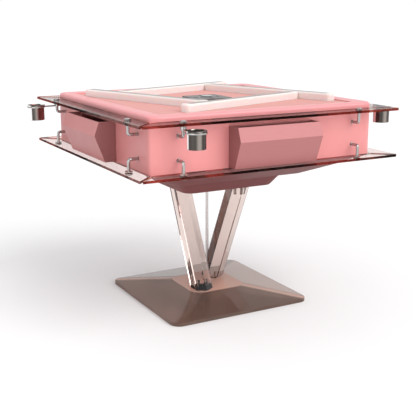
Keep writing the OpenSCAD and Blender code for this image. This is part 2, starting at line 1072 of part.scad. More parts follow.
// Welded frame: four corner posts and four rails under the board
module inner_frame() {
    color(dark) {
        for (sx = [-1, 1], sy = [-1, 1])
            translate([sx * (frame_half - post_w / 2) - post_w / 2,
                sy * (frame_half - post_w / 2) - post_w / 2, chassis_z])
                cube([post_w, post_w, rail_z - chassis_z + over]);
        translate([0, 0, rail_z])
            difference() {
                translate([-frame_half, -frame_half, 0])
                    cube([2 * frame_half, 2 * frame_half, rail_h]);
                translate([post_w - frame_half, post_w - frame_half, -over])
                    cube([2 * (frame_half - post_w), 2 * (frame_half - post_w), rail_h + 2 * over]);
            }
    }
}

// Steel floor of the body, on the flange of the pan
module chassis_plate() {
    color(steel)
        difference() {
            translate([0, 0, shell_z])
                round_plate(inner_half - gap, inner_r - gap, chassis_t);
            translate([-motor_x, 0, shell_z - over])
                cylinder(d = shaft_d + 2 * mouth_fit, h = chassis_t + 2 * over);
        }
}

// Fixed spindle that the drum turns on
module drum_spindle() {
    color(steel)
        translate([0, 0, chassis_z]) {
            cylinder(d = spindle_flange_d, h = wheel_z - gap - chassis_z);
            cylinder(d = spindle_d, h = dish_z - chassis_z + drum_h / 2);
        }
}

// Drum with its belt wheel and hub in one turned piece
module drum_dish() {
    r = drum_d / 2;
    bore = spindle_d / 2 + run_fit;
    color("silver")
        rotate_extrude($fn = 96)
            polygon([[bore, wheel_z], [drum_wheel_d / 2, wheel_z], [drum_wheel_d / 2, dish_z],
                [r, dish_z], [r, dish_z + drum_h], [r - drum_t, dish_z + drum_h],
                [r - drum_t, dish_z + drum_t], [drum_hub_d / 2 + drum_h, dish_z + drum_t],
                [drum_hub_d / 2, dish_z + drum_h / 2], [bore, dish_z + drum_h / 2]]);
}

// Motor that hangs below the chassis
module drum_motor() {
    color(dark)
        translate([-motor_x, 0, shell_z - motor_h])
            difference() {
                cylinder(d = motor_d, h = motor_h);
                translate([0, 0, motor_h / 2])
                    cylinder(d = shaft_d + 2 * run_fit, h = motor_h);
            }
}

// Motor shaft with its belt wheel
module motor_wheel() {
    color(steel)
        translate([-motor_x, 0, 0]) {
            translate([0, 0, shell_z - motor_h / 2 + gap])
                cylinder(d = shaft_d, h = wheel_z - shell_z + motor_h / 2 + over);
            translate([0, 0, wheel_z])
                cylinder(d = motor_wheel_d, h = wheel_t);
        }
}

// Outline of the belt's loop around both wheels, grown by a distance
module belt_outline(grow) {
    hull() {
        circle(r = drum_wheel_d / 2 + grow, $fn = 96);
        translate([-motor_x, 0])
            circle(r = motor_wheel_d / 2 + grow, $fn = 96);
    }
}

// Flat belt from the motor to the drum
module drive_belt() {
    belt_gap = 2 * gap;
    color(dark)
        translate([0, 0, wheel_z + (wheel_t - belt_h) / 2])
            linear_extrude(belt_h)
                difference() {
                    belt_outline(belt_gap + belt_t);
                    belt_outline(belt_gap);
                }
}

// Bridge under the board with the bush that guides the console's column
module console_bridge() {
    bush_d = column_d + 2 * bush_wall;
    color(dark)
        rotate([0, 0, 45])
            difference() {
                union() {
                    translate([-bridge_l / 2, -bridge_w / 2, bridge_z])
                        cube([bridge_l, bridge_w, bridge_t]);
                    for (s = [-1, 1])
                        translate([s * (bridge_l - bridge_w) / 2 - bridge_w / 2, -bridge_w / 2, bridge_z])
                            cube([bridge_w, bridge_w, panel_z - bridge_z]);
                    translate([0, 0, bridge_z])
                        cylinder(d = bush_d, h = bush_h);
                }
                translate([0, 0, bridge_z - over])
                    cylinder(d = column_d + 2 * run_fit, h = bush_h + 2 * over);
            }
}

// Gear motor that raises the console
module console_motor() {
    color(dark)
        rotate([0, 0, 45])
            translate([lift_motor_x, 0, bridge_z - lift_motor_h])
                cylinder(d = lift_motor_d, h = lift_motor_h);
}

// Box of the controller, on the plate in the tub
module control_box() {
    color(dark)
        translate([0, 0, top_plate_z + top_plate_t])
            difference() {
                translate([-box_w / 2, -box_d / 2, 0])
                    cube([box_w, box_d, box_h]);
                translate([0, 0, -over])
                    cylinder(d = tube_d, h = box_h / 2);
            }
}

// Housings of the units that pick tiles up from the drum
module pickup_units() {
    color(dark)
        for (i = [0:3])
            on_side(i)
                translate([-unit_w / 2, -unit_d - unit_t / 2 - slide_fit, chassis_z])
                    cube([unit_w, unit_t / 2 + slide_fit, unit_h]);
}

// Plate with the mains socket and the cheeks of the switch
module power_inlet() {
    color(dark)
        translate([0, inlet_y, step_z - plate_t])
            difference() {
                union() {
                    translate([-plate_w / 2, -plate_d / 2, 0])
                        cube([plate_w, plate_d, plate_t]);
                    translate([socket_x - socket_w / 2 - cheek_t, -socket_d / 2 - cheek_t, 0])
                        cube([socket_w + 2 * cheek_t, socket_d + 2 * cheek_t, inlet_h]);
                    for (s = [-1, 1])
                        translate([rocker_x + s * (rocker_w / 2 + gap + cheek_t / 2) - cheek_t / 2,
                            -rocker_r, 0])
                            cube([cheek_t, 2 * rocker_r, 2 * rocker_r]);
                }
                translate([socket_x - socket_w / 2, -socket_d / 2, -over])
                    cube([socket_w, socket_d, socket_depth + over]);
                translate([rocker_x - rocker_w / 2 - gap, -rocker_r - gap, -over])
                    cube([rocker_w + 2 * gap, 2 * (rocker_r + gap), plate_t + 2 * over]);
                translate([rocker_x, 0, rocker_z - step_z + plate_t])
                    rotate([0, 90, 0])
                        cylinder(r = pivot_r + run_fit, h = 2 * rocker_w, center = true, $fn = 32);
            }
}

// Rocker of the mains switch, with a shallow V cut across its face
module power_switch() {
    stub = rocker_w + 2 * gap + cheek_t;
    cut = rocker_r / 3;
    color("firebrick")
        translate([rocker_x, inlet_y, rocker_z])
            union() {
                difference() {
                    rotate([0, 90, 0])
                        cylinder(r = rocker_r, h = rocker_w, center = true);
                    along_x(rocker_w + 2 * over)
                        polygon([[-rocker_r, -rocker_r - over], [rocker_r, -rocker_r - over],
                            [rocker_r, cut - rocker_r], [0, 2 * cut - rocker_r],
                            [-rocker_r, -rocker_r]]);
                }
                rotate([0, 90, 0])
                    cylinder(r = pivot_r, h = stub, center = true, $fn = 32);
            }
}

base_plate();
front_leg();
rear_leg();
cable_tube();
leg_bolts();
leg_top_plate();
lower_pan();
body_shell();
top_rim();
tabletop_panel();
table_mat();
upper_shelves();
lower_shelves();
upper_brackets();
lower_brackets();
bracket_discs();
bracket_nuts();
drawer_front();
drawer_right();
drawer_rear();
drawer_left();
drawer_runners();
cup_arm_front();
cup_arm_right();
cup_arm_rear();
cup_arm_left();
cup_front();
cup_right();
cup_rear();
cup_left();
rack_front();
rack_right();
rack_rear();
rack_left();
lift_tray_front();
lift_tray_right();
lift_tray_rear();
lift_tray_left();
console_cover();
console_column();
dice_dome();
dice();
button_front();
button_right();
button_rear();
button_left();
inner_frame();
chassis_plate();
drum_dish();
drum_spindle();
drum_motor();
motor_wheel();
drive_belt();
console_bridge();
console_motor();
control_box();
lift_guides();
pickup_units();
power_inlet();
power_switch();
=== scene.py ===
import math

import bmesh
import bpy
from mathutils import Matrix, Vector


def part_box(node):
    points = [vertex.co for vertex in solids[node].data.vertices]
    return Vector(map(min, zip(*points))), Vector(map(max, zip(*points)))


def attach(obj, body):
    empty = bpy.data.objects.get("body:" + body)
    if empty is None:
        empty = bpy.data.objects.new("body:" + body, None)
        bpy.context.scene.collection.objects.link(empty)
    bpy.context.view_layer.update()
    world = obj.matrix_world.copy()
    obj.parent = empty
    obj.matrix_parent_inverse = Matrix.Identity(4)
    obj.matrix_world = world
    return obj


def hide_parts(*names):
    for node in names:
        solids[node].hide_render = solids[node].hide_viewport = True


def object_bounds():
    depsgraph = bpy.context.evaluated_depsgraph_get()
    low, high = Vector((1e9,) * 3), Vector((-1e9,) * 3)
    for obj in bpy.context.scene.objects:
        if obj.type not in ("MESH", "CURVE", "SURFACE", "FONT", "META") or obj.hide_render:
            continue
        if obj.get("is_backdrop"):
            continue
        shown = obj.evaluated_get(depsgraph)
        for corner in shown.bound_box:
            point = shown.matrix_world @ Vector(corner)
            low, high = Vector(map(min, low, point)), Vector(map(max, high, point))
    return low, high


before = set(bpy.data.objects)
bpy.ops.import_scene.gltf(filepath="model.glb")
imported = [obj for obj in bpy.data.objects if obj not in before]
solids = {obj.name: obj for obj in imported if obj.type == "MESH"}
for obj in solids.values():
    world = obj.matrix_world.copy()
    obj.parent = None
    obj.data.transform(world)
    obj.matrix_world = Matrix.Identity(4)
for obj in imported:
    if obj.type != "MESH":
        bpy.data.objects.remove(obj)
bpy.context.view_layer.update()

# Camera. It stands off the near corner of the table, a little above the rim, and
# looks down over the playing field with a long lens.
camera_drop, camera_turn = 13.67, -28.87
camera_data = bpy.data.cameras.new("camera")
camera_data.sensor_width = 36
camera_data.lens = 70.04
camera = bpy.data.objects.new("camera", camera_data)
camera.location = (-1.512, -2.751, 1.113)
camera.rotation_euler = (math.radians(90 - camera_drop), 0, math.radians(camera_turn))
bpy.context.scene.collection.objects.link(camera)
bpy.context.scene.camera = camera
bpy.context.scene.view_settings.view_transform = "Standard"


# Studio. A pale seamless floor under a soft sky, white at the horizon and greyer higher
# up, with one broad light from the right of the front and a faint fill from the left.
def lamp_at(name, kind, place, aim, power):
    lamp = bpy.data.lights.new(name, kind)
    lamp.energy = power
    holder = bpy.data.objects.new(name, lamp)
    holder.location = place
    toward = Vector(aim) - Vector(place)
    holder.rotation_euler = toward.to_track_quat("-Z", "Y").to_euler()
    bpy.context.scene.collection.objects.link(holder)
    return lamp


broad_key = lamp_at("broad_key", "SUN", place=(1.6, -3.45, 3.2), aim=(0, 0, 0), power=1.8)
broad_key.angle = math.radians(50)
left_fill = lamp_at("left_fill", "AREA", place=(-3.0, -1.6, 1.5), aim=(-0.45, 0, 0.6), power=20)
left_fill.size = 2.4

# The axes, and the sockets of a Mix node that is set to colours.
X, Y, Z = 0, 1, 2
MIX_SHARE, MIX_FIRST, MIX_SECOND, MIX_RESULT = 0, 6, 7, 2
horizon_white = (1.02, 1.02, 1.02, 1)
upper_grey = (0.84, 0.84, 0.85, 1)
grey_begins, grey_full = 0.03, 0.32

sky = bpy.data.worlds.new("sky")
sky.use_nodes = True
sky_tree = sky.node_tree
direction = sky_tree.nodes.new("ShaderNodeTexCoord")
parts = sky_tree.nodes.new("ShaderNodeSeparateXYZ")
fall = sky_tree.nodes.new("ShaderNodeMapRange")
fall.interpolation_type = "SMOOTHSTEP"
fall.inputs["From Min"].default_value = grey_begins
fall.inputs["From Max"].default_value = grey_full
shade = sky_tree.nodes.new("ShaderNodeMix")
shade.data_type = "RGBA"
shade.inputs[MIX_FIRST].default_value = horizon_white
shade.inputs[MIX_SECOND].default_value = upper_grey
sky_tree.links.new(direction.outputs["Generated"], parts.inputs["Vector"])
sky_tree.links.new(parts.outputs["Z"], fall.inputs["Value"])
sky_tree.links.new(fall.outputs["Result"], shade.inputs[MIX_SHARE])
sky_tree.links.new(shade.outputs[MIX_RESULT], sky_tree.nodes["Background"].inputs["Color"])
bpy.context.scene.world = sky


class Wire:
    """One socket of a finish, written in sums like a number."""

    def __init__(self, tree, socket=None):
        self.tree = tree
        self.socket = socket

    def node(self, kind, settings=None, inputs=None, out=0):
        """A new node; its inputs may be plain values or other wires."""
        made = self.tree.nodes.new(kind)
        for key, value in (settings or {}).items():
            setattr(made, key, value)
        for key, value in (inputs or {}).items():
            if isinstance(value, Wire):
                self.tree.links.new(value.socket, made.inputs[key])
            else:
                made.inputs[key].default_value = value
        return Wire(self.tree, made.outputs[out])

    def math(self, operation, first, second=0.0):
        return self.node("ShaderNodeMath", {"operation": operation}, {0: first, 1: second})

    def __add__(self, other):
        return self.math("ADD", self, other)

    def __sub__(self, other):
        return self.math("SUBTRACT", self, other)

    def __rsub__(self, other):
        return self.math("SUBTRACT", other, self)

    def __mul__(self, other):
        return self.math("MULTIPLY", self, other)

    def size(self):
        return self.math("ABSOLUTE", self)

    def above(self, edge):
        return self.math("GREATER_THAN", self, edge)

    def between(self, low, high):
        return self.above(low) * (1.0 - self.above(high))

    def eased(self, low, high):
        """0 below low, 1 above high, and a soft change between them."""
        return self.node("ShaderNodeMapRange", {"interpolation_type": "SMOOTHSTEP"},
                         {"Value": self, "From Min": low, "From Max": high})

    def blend(self, first, second):
        """The first colour where this is 0, the second where it is 1."""
        return self.node("ShaderNodeMix", {"data_type": "RGBA"},
                         {MIX_SHARE: self, MIX_FIRST: first, MIX_SECOND: second}, MIX_RESULT)

    def place(self, axis):
        spot = self.node("ShaderNodeTexCoord", out="Object")
        return self.node("ShaderNodeSeparateXYZ", {}, {0: spot}, axis)

    def facing(self, axis):
        normal = self.node("ShaderNodeNewGeometry", out="Normal")
        return self.node("ShaderNodeSeparateXYZ", {}, {0: normal}, axis)

    def speckle(self, scale, detail=3.0, stretch=(1, 1, 1)):
        spot = self.node("ShaderNodeTexCoord", out="Object")
        spread = self.node("ShaderNodeVectorMath", {"operation": "MULTIPLY"},
                           {0: spot, 1: stretch})
        return self.node("ShaderNodeTexNoise", {},
                         {"Vector": spread, "Scale": scale, "Detail": detail})

    def raised(self, height, strength, depth):
        return self.node("ShaderNodeBump", {},
                         {"Height": height, "Strength": strength, "Distance": depth})


def finish(name, uniform, varied):
    """A material: uniform holds plain values, varied(b) gives the sockets that change."""
    material = bpy.data.materials.new(name)
    material.use_nodes = True
    shader = material.node_tree.nodes["Principled BSDF"]
    for key, value in uniform.items():
        shader.inputs[key].default_value = value
    for key, value in varied(Wire(material.node_tree)).items():
        material.node_tree.links.new(value.socket, shader.inputs[key])
    return material


pale_floor = finish(
    "pale_floor", {"Roughness": 0.9, "Specular IOR Level": 0.1},
    lambda b: {
        "Base Color": b.speckle(3.0).blend((0.87, 0.868, 0.868, 1), (0.89, 0.888, 0.888, 1))})
far, just_below = 30, -0.0006
floor_corners = [(x * far, y * far, just_below) for x, y in ((-1, -1), (1, -1), (1, 1), (-1, 1))]
floor_mesh = bpy.data.meshes.new("floor")
floor_mesh.from_pydata(floor_corners, [], [(0, 1, 2, 3)])
floor_mesh.materials.append(pale_floor)
floor = bpy.data.objects.new("floor", floor_mesh)
bpy.context.scene.collection.objects.link(floor)
floor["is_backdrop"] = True


def dress(node, material):
    """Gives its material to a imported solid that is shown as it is."""
    solids[node].data.materials.clear()
    solids[node].data.materials.append(material)


def place_piece(name, mesh, material, body, slot, *stands_for):
    """A piece of the scene's own, riding on a body and shown in place of stands_for."""
    mesh.materials.clear()
    mesh.materials.append(material)
    piece = bpy.data.objects.new(name, mesh)
    bpy.context.scene.collection.objects.link(piece)
    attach(piece, body)
    if stands_for:
        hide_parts(*stands_for)
    return piece


def worked_mesh(name, node, width, steps=2, corner=28, smooth=34, ridge=None):
    """The node's own shape with its edges broken by small rounds of this width. Edges that
    turn more than corner degrees are rounded. Edges that then turn less than smooth degrees
    look soft, or less than ridge degrees where both faces lie nearly level."""
    same_place, same_plane, nearly_level = 0.00001, 0.4, 0.8

    def turn_of(edge):
        return edge.calc_face_angle(0) if len(edge.link_faces) == 2 else 0

    shape = bmesh.new()
    shape.from_mesh(solids[node].data)
    bmesh.ops.remove_doubles(shape, verts=shape.verts, dist=same_place)
    bmesh.ops.dissolve_limit(shape, angle_limit=math.radians(same_plane), verts=shape.verts,
                             edges=shape.edges)
    keen = [edge for edge in shape.edges if turn_of(edge) > math.radians(corner)]
    bmesh.ops.bevel(shape, geom=keen, offset=width, segments=steps, profile=0.5, affect="EDGES",
                    clamp_overlap=True)
    shape.normal_update()
    for face in shape.faces:
        face.smooth = True
    for edge in shape.edges:
        level = all(abs(face.normal.z) > nearly_level for face in edge.link_faces)
        soft_below = ridge if level and ridge is not None else smooth
        edge.smooth = turn_of(edge) < math.radians(soft_below)
    mesh = bpy.data.meshes.new(name)
    shape.to_mesh(mesh)
    shape.free()
    return mesh


def even_shading(piece):
    """Keeps wide flat faces flat in their shading beside the narrow rounds."""
    weights = piece.modifiers.new("even_shading", "WEIGHTED_NORMAL")
    weights.keep_sharp = True
    weights.weight = 90


def block_painted_light(b):
    """Painted light and shade by face direction: painted shade with streaks through the two near
    slopes, rosier painted light through the flat top, paler painted light behind.
    """
    flat_painted_light = (0.98, 0.64, 0.51, 1)
    rear_painted_shade = (0.22, 0.13, 0.10, 1)
    right_painted_light = b.speckle(2.2).blend((0.68, 0.54, 0.47, 1), (0.74, 0.60, 0.53, 1))
    painted_shade_streaks = b.speckle(2.5, 2.0, (3, 1.2, 0.5)).eased(0.35, 0.65)
    near_painted_shade = painted_shade_streaks.blend((0.205, 0.145, 0.118, 1), (0.25, 0.178, 0.148, 1))
    lean = b.facing(X) + b.facing(Y)
    near = 1.0 - lean.eased(-0.10, -0.04)
    flat = 1.0 - lean.size().eased(0.02, 0.05)
    behind = b.facing(Y).eased(0.02, 0.08).blend(right_painted_light, rear_painted_shade)
    return near.blend(flat.blend(behind, flat_painted_light), near_painted_shade)


# Smoked clear acrylic for the base; its colour carries painted light and shade by face
# direction.
smoked_acrylic = finish(
    "smoked_acrylic", {"IOR": 1.28, "Transmission Weight": 0.62},
    lambda b: {
        "Base Color": block_painted_light(b),
        "Roughness": b.speckle(240.0) * 0.02 + 0.02})
block = worked_mesh("clear_base", "base_plate", width=0.002, ridge=2)
even_shading(place_piece("clear_base", block, smoked_acrylic,
                         "table", "clear_base", "base_plate"))


# Legs. Two long six-sided bars of rosy clear acrylic with flame-polished edges. They lean
# past each other and are bolted to the base and the tub; the bolts are plain steel.
def bar_tone(b, painted_side_light, painted_streak_from):
    """Clear rose; the narrow left side takes its own tone as painted light, and above a given
    height a painted dark reflection as a streak along its front edge, nearly black at the top."""
    foot_height, foot_forward, lean = 0.03, 0.060, 0.471
    painted_streak_edge, painted_black_from = -0.016, 0.375
    clear = b.speckle(2.5).blend((0.72, 0.58, 0.53, 1), (0.77, 0.63, 0.58, 1))
    on_left_side = 1.0 - b.facing(X).eased(-0.98, -0.92)
    height = b.place(Z)
    off_axis = b.place(Y) - (height - foot_height) * lean + foot_forward
    painted_dark_streak = (1.0 - off_axis.above(painted_streak_edge)) * height.above(painted_streak_from)
    deep = height.above(painted_black_from).blend((0.05, 0.006, 0.004, 1), (0.002, 0.001, 0.001, 1))
    return on_left_side.blend(clear, painted_dark_streak.blend(painted_side_light, deep))


# The front leg's narrow left side takes a pale painted highlight and, up high, a painted dark
# streak; the rear leg's takes a dark painted shade and no streak.
beyond_the_top = 1.0
for bar, painted_side_light, painted_streak_from in (
        ("front_leg", (0.90, 0.76, 0.70, 1), 0.31),
        ("rear_leg", (0.04, 0.012, 0.008, 1), beyond_the_top)):
    rosy_acrylic = finish(
        "rosy_" + bar, {"IOR": 1.49, "Transmission Weight": 1.0},
        lambda b: {
            "Base Color": bar_tone(b, painted_side_light, painted_streak_from),
            "Roughness": b.speckle(300.0) * 0.015 + 0.01})
    polished = worked_mesh(bar, bar, width=0.0004)
    even_shading(place_piece("polished_" + bar, polished, rosy_acrylic,
                             "table", "clear_leg", bar))

bolt_steel = finish(
    "bolt_steel", {"Metallic": 1.0},
    lambda b: {
        "Base Color": b.speckle(90.0).blend((0.36, 0.35, 0.35, 1), (0.50, 0.49, 0.48, 1)),
        "Roughness": b.speckle(260.0) * 0.2 + 0.22})
dress("leg_bolts", bolt_steel)

# Cable tube. A thin clear tube that would carry the mains lead. It stands on the base
# between the legs and ends at the tub.
tube_acrylic = finish(
    "tube_acrylic", {"IOR": 1.49, "Transmission Weight": 1.0},
    lambda b: {
        "Base Color": b.speckle(4.0).blend((0.72, 0.69, 0.68, 1), (0.78, 0.75, 0.74, 1)),
        "Roughness": b.speckle(200.0) * 0.02 + 0.01})
dress("cable_tube", tube_acrylic)


# Body. A square case, the rim over it and the stepped pan under it, all sprayed in a warm satin
# pink that leaves a very fine skin; the pan's coat is duller, and its pink is darkened as
# painted shade.
def sprayed(name, pale, deep, low_rough=0.34, shine=0.45, left=1.0, under=1.0, end_axis=None):
    """Satin paint; left and under are painted shade: how much of their brightness the faces keep
    that turn to the left or down; the end faces across end_axis take a painted shade, as they
    lie in the shade of the plates."""
    end_painted_shade = 0.56

    def dimmed(share):
        return [value * share for value in deep[:3]] + [1]

    def tone(b):
        colour = b.speckle(1.6, 4.0).blend(deep, pale)
        if left < 1.0:
            colour = b.facing(X).eased(-0.99, -0.8).blend(dimmed(left), colour)
        if under < 1.0:
            colour = b.facing(Z).eased(-0.3, -0.1).blend(dimmed(under), colour)
        if end_axis is not None:
            at_end = b.facing(end_axis).size().eased(0.9, 0.98)
            colour = at_end.blend(colour, dimmed(end_painted_shade))
        return colour

    return finish(name, {"Specular IOR Level": shine, "Coat Roughness": 0.3},
                  lambda b: {
                      "Base Color": tone(b),
                      "Roughness": b.speckle(14.0) * 0.12 + low_rough,
                      "Normal": b.raised(b.speckle(520.0, 2.0), 0.05, 0.0004)})


# The left-facing faces of the case and the rim keep less of their brightness, as painted shade.
dress("body_shell", sprayed(
    "pink_case", (0.78, 0.295, 0.292, 1), (0.74, 0.278, 0.275, 1), left=0.74))
dress("top_rim", sprayed(
    "pink_rim", (0.80, 0.305, 0.315, 1), (0.77, 0.290, 0.300, 1),
    low_rough=0.28, shine=0.55, left=0.85))
# The pan's pink is about a quarter of the case's, painted shade under the table.
dress("lower_pan", sprayed(
    "pink_pan", (0.205, 0.070, 0.069, 1), (0.185, 0.062, 0.061, 1),
    low_rough=0.5, shine=0.2))

# Playing field. A short felt cloth glued to the raised board; the lifting trays carry
# the same cloth, so that the field looks whole when they are up.
SIDES = ("front", "right", "rear", "left")
field_cloth = finish(
    "field_cloth", {"Sheen Weight": 0.35, "Sheen Roughness": 0.5, "Specular IOR Level": 0.2},
    lambda b: {
        "Base Color": (b.speckle(900.0, 2.0) * 0.6 + b.speckle(5.0) * 0.4).blend(
            (0.58, 0.180, 0.150, 1), (0.67, 0.228, 0.188, 1)),
        "Roughness": b.speckle(700.0) * 0.1 + 0.82,
        "Normal": b.raised(b.speckle(1100.0, 3.0), 0.3, 0.0004)})
dress("table_mat", field_cloth)
for side in SIDES:
    dress("lift_tray_" + side, field_cloth)


# Shelf plates. Eight plates of tinted clear acrylic with polished edges. The edges carry a
# painted red for the light of the pink case that they gather, where the faces look clear.
def plate_tone(b, front_painted_dark, face_tints_and_light):
    """Faces in the two face tones, tint with painted light; edges in a painted red with
    stretches of painted dark reflection, all painted dark between the two given places, a
    painted pale reflection along the left side's front half and painted black at the near
    corner."""
    painted_dark, near_painted_black = (0.055, 0.028, 0.023, 1), (0.01, 0.006, 0.005, 1)
    left_painted_pale, left_painted_red = (0.80, 0.70, 0.66, 1), (0.26, 0.09, 0.065, 1)
    left_painted_pale_to, left_painted_dark_to, near_corner = -0.055, 0.14, -1.196
    x, y = b.place(X), b.place(Y)
    red = b.speckle(7.0, 2.0).eased(0.60, 0.63).blend((0.44, 0.125, 0.095, 1), painted_dark)
    front = x.between(*front_painted_dark).blend(red, painted_dark)
    left = y.above(left_painted_pale_to).blend(left_painted_pale, y.above(left_painted_dark_to).blend(painted_dark, left_painted_red))
    edge = (1.0 - b.facing(X).eased(-0.95, -0.85)).blend(front, left)
    edge = (1.0 - (x + y).above(near_corner)).blend(edge, near_painted_black)
    return b.facing(Z).size().eased(0.3, 0.8).blend(edge, b.speckle(3.0).blend(*face_tints_and_light))


# The upper plates' faces take a darker tone and the lower plates' a paler one, painted light
# over the tint; between the two listed places the front edges take the painted dark reflection
# of the shaded drawers.
for level, front_painted_dark, face_tints_and_light in (
        ("upper", (-0.228, 0.192), ((0.52, 0.47, 0.45, 1), (0.58, 0.53, 0.51, 1))),
        ("lower", (-0.185, 0.148), ((0.84, 0.72, 0.70, 1), (0.89, 0.77, 0.75, 1)))):
    shelf_acrylic = finish(
        "shelf_acrylic_" + level, {"IOR": 1.04, "Transmission Weight": 0.96},
        lambda b: {
            "Base Color": plate_tone(b, front_painted_dark, face_tints_and_light),
            "Roughness": b.speckle(220.0) * 0.015 + 0.01})
    plates = worked_mesh(level, level + "_shelves", width=0.0007)
    even_shading(place_piece(level + "_plates", plates, shelf_acrylic,
                             "table", "clear_shelf", level + "_shelves"))

# Brackets. Bent bright-chromed rods with turned discs above and below each plate, a
# disc at the wall and a domed cap nut on the end of each rod.
bright_chrome = finish(
    "bright_chrome", {"Metallic": 1.0},
    lambda b: {
        "Base Color": b.speckle(30.0).blend((0.36, 0.35, 0.34, 1), (0.52, 0.50, 0.49, 1)),
        "Roughness": b.speckle(160.0) * 0.1 + 0.08})
for node in ("upper_brackets", "lower_brackets", "bracket_discs"):
    dress(node, bright_chrome)


def turned_mesh(name, spots, steps):
    """Turned shapes: each spot is a place, a flip and a closed outline of radius and height."""
    same_place, sharp_turn = 0.0000005, 40
    shape = bmesh.new()
    for place, flip, outline in spots:
        rings = []
        for step in range(steps):
            turn = 2 * math.pi * step / steps
            rings.append([
                shape.verts.new((place[0] + radius * math.cos(turn),
                                 place[1] + radius * math.sin(turn),
                                 place[2] + flip * height)) for radius, height in outline])
        for step in range(steps):
            here, there = rings[step], rings[(step + 1) % steps]
            for k in range(len(outline)):
                n = (k + 1) % len(outline)
                shape.faces.new((here[k], there[k], there[n], here[n]))
    bmesh.ops.remove_doubles(shape, verts=shape.verts, dist=same_place)
    bmesh.ops.recalc_face_normals(shape, faces=shape.faces)
    mesh = bpy.data.meshes.new(name)
    shape.to_mesh(mesh)
    shape.free()
    mesh.shade_smooth()
    mesh.set_sharp_from_angle(angle=math.radians(sharp_turn))
    return mesh


def turned_to_side(x, y, side):
    """A place of the front side, turned by a quarter for each side that follows it."""
    for _ in range(side):
        x, y = -y, x
    return x, y


nut_off_middle, nut_outward, nut_tall = 0.352, 0.485, 0.004
nut_radius, nut_break, collar_tall = 0.010, 0.0006, 0.0026
dome_radius, dome_rise = 0.0092, 0.0013
nut_outline = [
    (0.0, 0.0), (nut_radius - nut_break, 0.0), (nut_radius, nut_break),
    (nut_radius, collar_tall - nut_break), (nut_radius - 0.0004, collar_tall)]
nut_outline += [
    (dome_radius * math.cos(turn), collar_tall + dome_rise * math.sin(turn))
    for turn in (0.3, 0.7, 1.1, math.pi / 2)]
nut_low, nut_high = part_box("bracket_nuts")
nut_spots = []
for side in range(len(SIDES)):
    for across in (-nut_off_middle, nut_off_middle):
        x, y = turned_to_side(across, -nut_outward, side)
        nut_spots.append(((x, y, nut_high.z - nut_tall), 1, nut_outline))
        nut_spots.append(((x, y, nut_low.z + nut_tall), -1, nut_outline))
nuts = turned_mesh("cap_nuts", nut_spots, steps=24)
place_piece("cap_nuts", nuts, bright_chrome, "table", "chrome_rod", "bracket_nuts")

# Drawers. Each is a folded bin moulded in satin pink plastic; its front stands out from
# the wall in two slopes and its open top takes counters.
for side in SIDES:
    # The drawers' downward faces and their end faces take painted shade.
    pink_drawer = sprayed(
        "pink_drawer_" + side, (0.51, 0.190, 0.188, 1), (0.47, 0.172, 0.170, 1),
        low_rough=0.4, under=0.86, end_axis=X if side in ("front", "rear") else Y)
    folded = worked_mesh("drawer_" + side, "drawer_" + side, width=0.0022, steps=3)
    even_shading(place_piece("folded_drawer_" + side, folded, pink_drawer,
                             "drawer_" + side, "pink_drawer", "drawer_" + side))

# Cup holders. A chromed arm swings on the bracket's post. Its ring carries a spun stainless cup,
# brushed round its side, with a rolled rim; painted reflections band its side, and a near-black
# skin inside is painted shade.
for side in SIDES:
    ringed = worked_mesh("arm_" + side, "cup_arm_" + side, width=0.0008, corner=40, smooth=30)
    place_piece("ringed_arm_" + side, ringed, bright_chrome,
                "cup_arm_" + side, "chrome_rod", "cup_arm_" + side)


def steel_bands(b, white_reflection_edge, painted_warm_reflection):
    """Painted reflections as soft upright bands round the cup, as a turned cylinder shows them:
    white left of a given edge, then dark, pale and dark again, or a warm colour to the right
    where one is given."""
    to_right_x, to_right_y = 0.876, 0.483
    painted_white_reflection, painted_pale_reflection = (0.95, 0.94, 0.93, 1), (0.34, 0.30, 0.27, 1)
    painted_dark_reflection = (0.075, 0.066, 0.06, 1)
    around = b.facing(X) * to_right_x - b.facing(Y) * to_right_y
    pale = around.eased(-0.1, 0.3) * (1.0 - around.eased(0.42, 0.66))
    tone = pale.blend(painted_dark_reflection, painted_pale_reflection)
    if painted_warm_reflection:
        tone = around.eased(0.2, 0.4).blend(tone, painted_warm_reflection)
    return (1.0 - around.eased(white_reflection_edge - 0.04, white_reflection_edge + 0.06)).blend(tone, painted_white_reflection)


def spun_steel(name, white_reflection_edge, painted_warm_reflection=None):
    return finish(
        name, {"Metallic": 1.0},
        lambda b: {
            "Base Color": steel_bands(b, white_reflection_edge, painted_warm_reflection),
            "Roughness": b.speckle(8.0, 3.0, (1, 1, 80)) * 0.14 + 0.18,
            "Normal": b.raised(b.speckle(10.0, 3.0, (1, 1, 160)), 0.06, 0.0003)})


# Both cups carry painted reflections in bands; the left cup's warm band is a painted pink
# reflection.
plain_steel = spun_steel("spun_steel", -0.78)
pink_reflection_steel = spun_steel("spun_steel_pink_reflection", -0.38, (0.26, 0.13, 0.12, 1))
# A near-black skin inside each cup is painted shade.
painted_shade_inside = finish(
    "painted_shade_inside", {"Metallic": 1.0},
    lambda b: {
        "Base Color": b.speckle(40.0).blend((0.03, 0.028, 0.026, 1), (0.05, 0.046, 0.043, 1)),
        "Roughness": b.speckle(60.0, 3.0, (1, 1, 20)) * 0.2 + 0.3})


